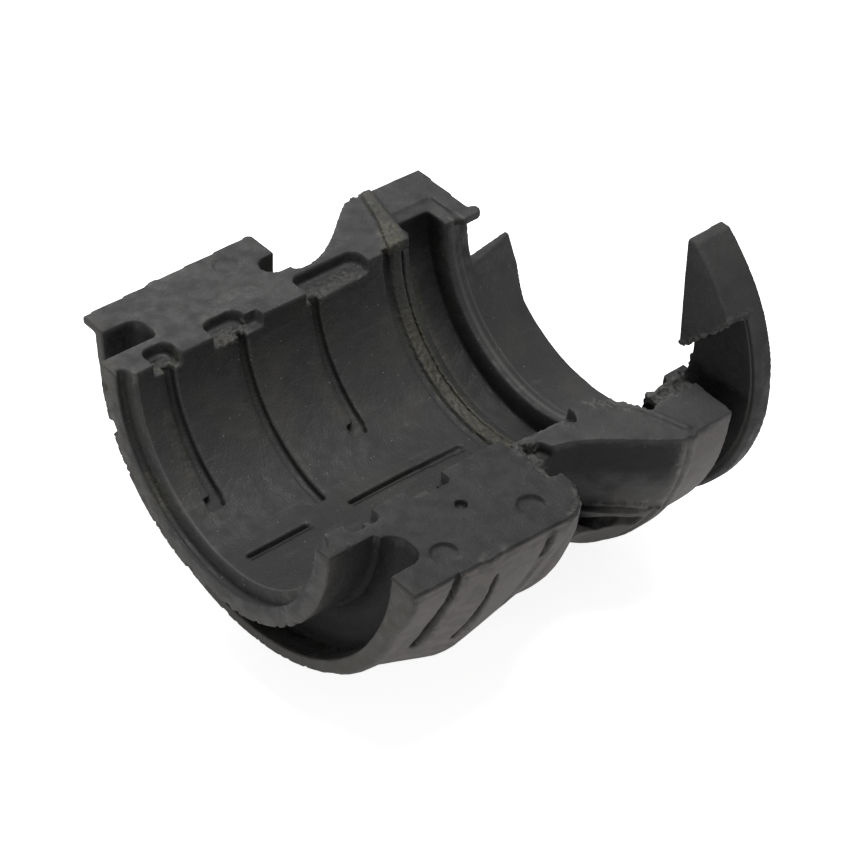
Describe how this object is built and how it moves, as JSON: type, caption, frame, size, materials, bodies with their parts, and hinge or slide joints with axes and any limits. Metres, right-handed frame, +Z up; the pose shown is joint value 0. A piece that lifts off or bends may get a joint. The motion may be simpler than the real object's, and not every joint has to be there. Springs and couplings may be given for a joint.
{
  "type": "sway bar bushing half",
  "caption": "Half of a split rubber bushing that holds a sway bar: grooved half-round bore, flanges, side recesses, collar, and a far disc with a torn arm.",
  "frame": {"origin": "on the bore axis, in the parting plane, at the middle of the bar seat", "axes": "+Y along the bore from the near end with the ring-shaped void to the end with the disc, +Z up out of the open side, +X towards the side with the arm"},
  "size_m": [0.0546, 0.0551, 0.0433],
  "materials": {
    "rubber": "matt, worn and dusty"
  },
  "bodies": {
    "root": {"bushing_half": "rubber"}
  },
  "joints": []
}
